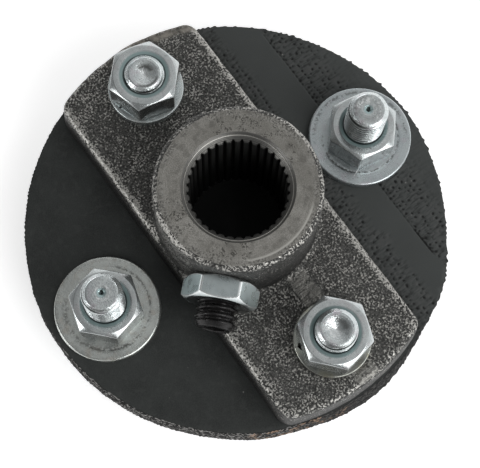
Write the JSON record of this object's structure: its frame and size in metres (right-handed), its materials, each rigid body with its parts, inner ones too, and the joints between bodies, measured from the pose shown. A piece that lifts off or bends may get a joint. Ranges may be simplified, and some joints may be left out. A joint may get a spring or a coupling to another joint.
{
  "type": "steering rag joint",
  "caption": "Flexible steering coupling: a rubber and fabric disc bolted to a bar with a splined hub and set screw, with threaded studs left free for the column's flange.",
  "frame": {"origin": "the splined bore's axis at the disc's top face", "axes": "+Z along the bore out of the hub's mouth, +X along the bar, +Y towards one of the two free studs"},
  "size_m": [0.085, 0.085, 0.0401],
  "materials": {
    "cast_steel": "dark rough casting with turned hub face",
    "rubber_fabric": "black fabric-laid rubber, satin",
    "zinc_steel": "clear zinc plate",
    "olive_zinc_steel": "dull olive zinc plate",
    "black_steel": "black oxide"
  },
  "bodies": {
    "root": {"hub_flange": "cast_steel", "rag_disc": "rubber_fabric", "set_screw": "black_steel", "set_screw_jam_nut": "zinc_steel", "bar_bolt_left": "zinc_steel", "bar_bottom_washer_left": "zinc_steel", "bar_lock_washer_left": "zinc_steel", "bar_nut_left": "zinc_steel", "bar_bolt_right": "zinc_steel", "bar_bottom_washer_right": "zinc_steel", "bar_lock_washer_right": "olive_zinc_steel", "bar_nut_right": "zinc_steel", "stud_bolt_back": "zinc_steel", "stud_bottom_washer_back": "zinc_steel", "stud_top_washer_back": "zinc_steel", "stud_nut_back": "zinc_steel", "stud_bolt_front": "zinc_steel", "stud_bottom_washer_front": "zinc_steel", "stud_top_washer_front": "olive_zinc_steel", "stud_nut_front": "zinc_steel"}
  },
  "joints": []
}
